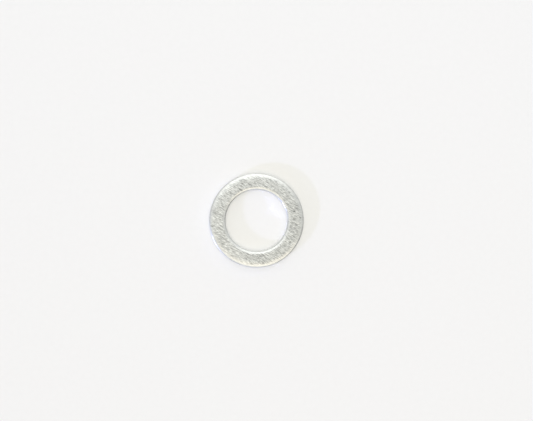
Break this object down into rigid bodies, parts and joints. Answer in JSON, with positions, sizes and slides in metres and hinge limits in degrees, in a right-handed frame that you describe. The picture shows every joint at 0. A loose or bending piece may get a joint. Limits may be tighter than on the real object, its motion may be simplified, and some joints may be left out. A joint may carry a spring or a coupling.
{
  "type": "washer",
  "caption": "Flat round aluminium washer with a wide bore, stamped from sheet so that its upper edges are rolled over; goes under a bolt head or plug as a spacer or seal.",
  "frame": {"origin": "centre of the lower face, on the bore's axis", "axes": "+Z along the bore's axis, out of the upper face with the rolled edges; X and Y in the lower face"},
  "size_m": [0.0218, 0.0218, 0.0015],
  "materials": {
    "aluminium": "mill-finish sheet with a fine straight rolling grain, tumbled, with bright rolled edges"
  },
  "bodies": {
    "root": {"washer": "aluminium"}
  },
  "joints": []
}
